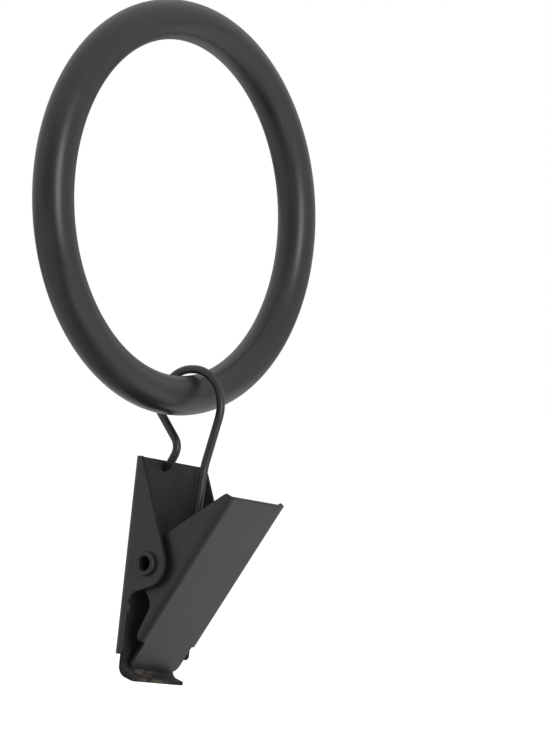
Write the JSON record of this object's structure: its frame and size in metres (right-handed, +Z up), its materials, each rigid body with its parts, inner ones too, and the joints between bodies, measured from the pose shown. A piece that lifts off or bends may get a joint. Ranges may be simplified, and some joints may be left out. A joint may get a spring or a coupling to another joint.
{
  "type": "curtain ring with clip",
  "caption": "Round steel curtain ring with a spring clip hanging from it by a wire loop; squeezing the clip's handles opens its jaws to take the top edge of a curtain.",
  "frame": {"origin": "centre of the ring, at mid thickness of its bar", "axes": "+Y runs through the ring along the curtain rod, from the front handle's side to the back handle's side; +Z is up, with the clip hanging below the ring; +X is to the right"},
  "size_m": [0.047, 0.0156, 0.0778],
  "materials": {
    "ring_paint": "satin black enamel on steel bar",
    "wire_paint": "satin black enamel on spring wire",
    "jaw_paint": "satin black enamel on folded sheet steel",
    "rivet_paint": "satin black enamel on a rolled tube"
  },
  "bodies": {
    "ring": {"ring": "ring_paint"},
    "clip": {"back_jaw": "jaw_paint", "pivot_rivet": "rivet_paint", "hanger_spring": "wire_paint"},
    "lever": {"front_jaw": "jaw_paint"}
  },
  "joints": [
    {"name": "clip_swing", "type": "hinge", "parent": "ring", "child": "clip", "pos_m": [0.00135, 0, -0.02121], "axis": [0.998, 0, 0.0635], "continuous": true},
    {"name": "jaw_open", "type": "hinge", "parent": "clip", "child": "lever", "pos_m": [-0.00076, -0.00032, -0.04073], "axis": [-0.989, 0, 0.1478], "range_deg": [0, 32], "stiffness_Nm_per_rad": 0.2, "springref_deg": -14.9, "deforming": ["hanger_spring"]}
  ]
}
